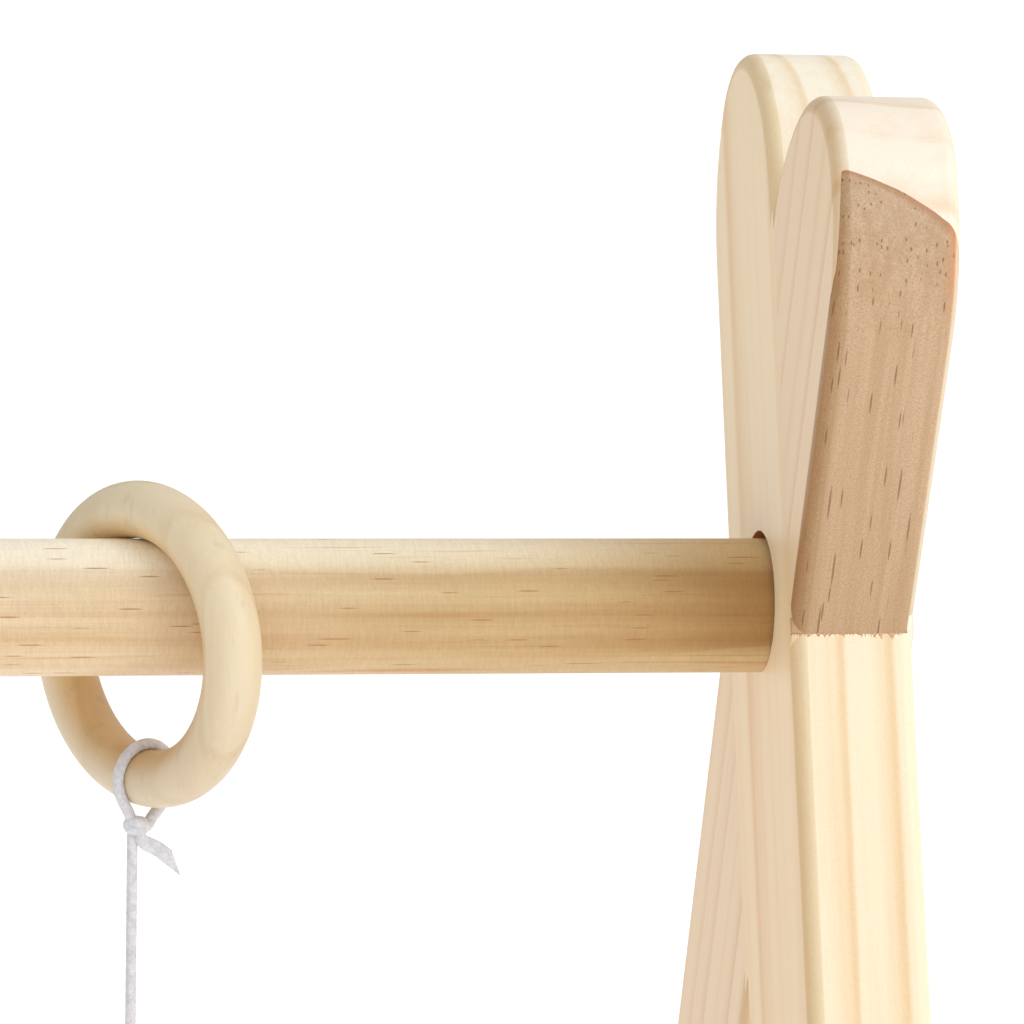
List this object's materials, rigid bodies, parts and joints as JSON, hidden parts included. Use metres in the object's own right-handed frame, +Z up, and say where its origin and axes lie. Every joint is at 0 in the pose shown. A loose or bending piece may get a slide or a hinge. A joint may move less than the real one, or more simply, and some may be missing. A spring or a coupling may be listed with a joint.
{
  "type": "activity play gym",
  "caption": "Wooden baby play gym: crossed rounded legs at each end carry a round bar, with wooden rings on it that hold corded bead toys.",
  "frame": {"origin": "on the floor under the middle of the bar", "axes": "+X along the bar, +Z up, -Y towards the front"},
  "size_m": [0.613, 0.4122, 0.5815],
  "materials": {
    "leg_pine": "clear satin lacquer on pine",
    "bar_pine": "clear satin lacquer on pine dowel",
    "ring_wood": "smooth sanded pale hardwood",
    "plug_wood": "smooth sanded pale hardwood",
    "toy_wood": "smooth waxed pale hardwood",
    "cotton_cord": "braided cotton",
    "zinc_steel": "zinc plated",
    "brass_insert": "machined",
    "pad_rubber": "pale matt rubber"
  },
  "bodies": {
    "frame": {"bolt_left": "zinc_steel", "bolt_right": "zinc_steel", "cap_plug_left": "plug_wood", "cap_plug_right": "plug_wood", "foot_pad_left_inner": "pad_rubber", "foot_pad_left_outer": "pad_rubber", "foot_pad_right_inner": "pad_rubber", "foot_pad_right_outer": "pad_rubber", "hanging_bar": "bar_pine", "insert_left": "brass_insert", "insert_right": "brass_insert", "leg_left_inner": "leg_pine", "leg_left_outer": "leg_pine", "leg_right_inner": "leg_pine", "leg_right_outer": "leg_pine", "washer_left": "zinc_steel", "washer_right": "zinc_steel"},
    "hanging_ring_left": {"ring_left": "ring_wood"},
    "loop_left": {"loop_knot_left": "cotton_cord"},
    "pendant_left": {"cord_left": "cotton_cord", "end_knot_left": "cotton_cord"},
    "toy_left": {"bead_bottom_left": "toy_wood", "bead_centre_left": "toy_wood", "bead_lower_left": "toy_wood", "bead_top_left": "toy_wood", "bead_upper_left": "toy_wood"},
    "hanging_ring_middle": {"ring_middle": "ring_wood"},
    "loop_middle": {"loop_knot_middle": "cotton_cord"},
    "pendant_middle": {"cord_middle": "cotton_cord", "end_knot_middle": "cotton_cord"},
    "toy_middle": {"bead_bottom_middle": "toy_wood", "bead_top_middle": "toy_wood", "bell_middle": "toy_wood"},
    "hanging_ring_right": {"ring_right": "ring_wood"},
    "loop_right": {"loop_knot_right": "cotton_cord"},
    "pendant_right": {"cord_right": "cotton_cord", "end_knot_right": "cotton_cord"},
    "toy_right": {"bead_inside_right": "toy_wood", "bead_top_right": "toy_wood", "toy_ring_right": "toy_wood"}
  },
  "joints": [
    {"name": "slide_left", "type": "slide", "parent": "frame", "child": "hanging_ring_left", "axis": [1, 0, 0], "range_m": [-0.03, 0.05]},
    {"name": "sway_left", "type": "hinge", "parent": "hanging_ring_left", "child": "loop_left", "pos_m": [-0.166, 0, 0.4486], "axis": [-0.4695, 0.8829, 0], "range_deg": [-15, 15]},
    {"name": "swing_left", "type": "hinge", "parent": "loop_left", "child": "pendant_left", "pos_m": [-0.1682, 0, 0.4394], "axis": [1, 0, 0], "range_deg": [-30, 30]},
    {"name": "spin_left", "type": "hinge", "parent": "pendant_left", "child": "toy_left", "pos_m": [-0.1682, 0, 0.33], "axis": [0, 0, 1], "continuous": true},
    {"name": "slide_middle", "type": "slide", "parent": "frame", "child": "hanging_ring_middle", "axis": [1, 0, 0], "range_m": [-0.05, 0.05]},
    {"name": "sway_middle", "type": "hinge", "parent": "hanging_ring_middle", "child": "loop_middle", "pos_m": [0, 0, 0.4486], "axis": [0.5446, 0.8387, 0], "range_deg": [-15, 15]},
    {"name": "swing_middle", "type": "hinge", "parent": "loop_middle", "child": "pendant_middle", "pos_m": [-0.0022, 0, 0.4394], "axis": [1, 0, 0], "range_deg": [-30, 30]},
    {"name": "spin_middle", "type": "hinge", "parent": "pendant_middle", "child": "toy_middle", "pos_m": [-0.0022, 0, 0.33], "axis": [0, 0, 1], "continuous": true},
    {"name": "slide_right", "type": "slide", "parent": "frame", "child": "hanging_ring_right", "axis": [1, 0, 0], "range_m": [-0.05, 0.03]},
    {"name": "sway_right", "type": "hinge", "parent": "hanging_ring_right", "child": "loop_right", "pos_m": [0.166, 0, 0.4486], "axis": [-0.5664, 0.8241, 0], "range_deg": [-15, 15]},
    {"name": "swing_right", "type": "hinge", "parent": "loop_right", "child": "pendant_right", "pos_m": [0.1638, 0, 0.4394], "axis": [1, 0, 0], "range_deg": [-30, 30]},
    {"name": "spin_right", "type": "hinge", "parent": "pendant_right", "child": "toy_right", "pos_m": [0.1638, 0, 0.33], "axis": [0, 0, 1], "continuous": true}
  ]
}
